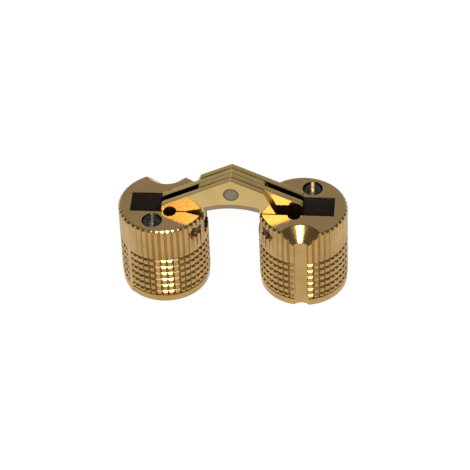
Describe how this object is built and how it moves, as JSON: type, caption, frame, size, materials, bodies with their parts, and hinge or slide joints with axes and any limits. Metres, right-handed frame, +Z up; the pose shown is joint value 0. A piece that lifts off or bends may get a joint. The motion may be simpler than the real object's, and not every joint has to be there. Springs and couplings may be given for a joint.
{
  "type": "invisible barrel hinge",
  "caption": "Concealed hinge: two knurled round brass barrels joined by interleaved scissor leaves that fold into slots in the barrels, shown open flat.",
  "frame": {"origin": "on the plane of the two barrels' feet, midway between the barrel axes, with the hinge open flat", "axes": "+X from the left barrel's axis to the right barrel's, +Z up along the barrels from foot to face, +Y from the front leaf to the back leaf"},
  "size_m": [0.036, 0.014, 0.0215],
  "materials": {
    "barrel_brass": "turned and knurled, satin",
    "leaf_brass": "polished",
    "pin_steel": "ground",
    "screw_steel": "blackened"
  },
  "bodies": {
    "left_barrel_body": {"left_barrel": "barrel_brass", "left_pivot_pin": "pin_steel", "left_clamp_screw": "screw_steel"},
    "link_set_b": {"link_leaf_2": "leaf_brass", "link_leaf_4": "leaf_brass", "right_slide_pin": "pin_steel"},
    "link_set_a": {"link_leaf_1": "leaf_brass", "link_leaf_3": "leaf_brass", "left_slide_pin": "pin_steel", "centre_pin": "pin_steel"},
    "right_barrel_body": {"right_barrel": "barrel_brass", "right_pivot_pin": "pin_steel", "right_clamp_screw": "screw_steel"}
  },
  "joints": [
    {"name": "left_pivot", "type": "hinge", "parent": "left_barrel_body", "child": "link_set_b", "pos_m": [-0.00548, 0, 0.0127], "axis": [0, -1, 0], "range_deg": [0, 115]},
    {"name": "centre_pivot", "type": "hinge", "parent": "link_set_b", "child": "link_set_a", "pos_m": [0, 0, 0.01865], "axis": [0, -1, 0], "range_deg": [-50, 0]},
    {"name": "right_pivot", "type": "hinge", "parent": "link_set_a", "child": "right_barrel_body", "pos_m": [0.00548, 0, 0.0127], "axis": [0, -1, 0], "range_deg": [0, 115]}
  ],
  "couplings": [
    {"joint": "centre_pivot", "follows": "left_pivot", "ratio": -0.43478},
    {"joint": "right_pivot", "follows": "left_pivot", "ratio": 1}
  ]
}
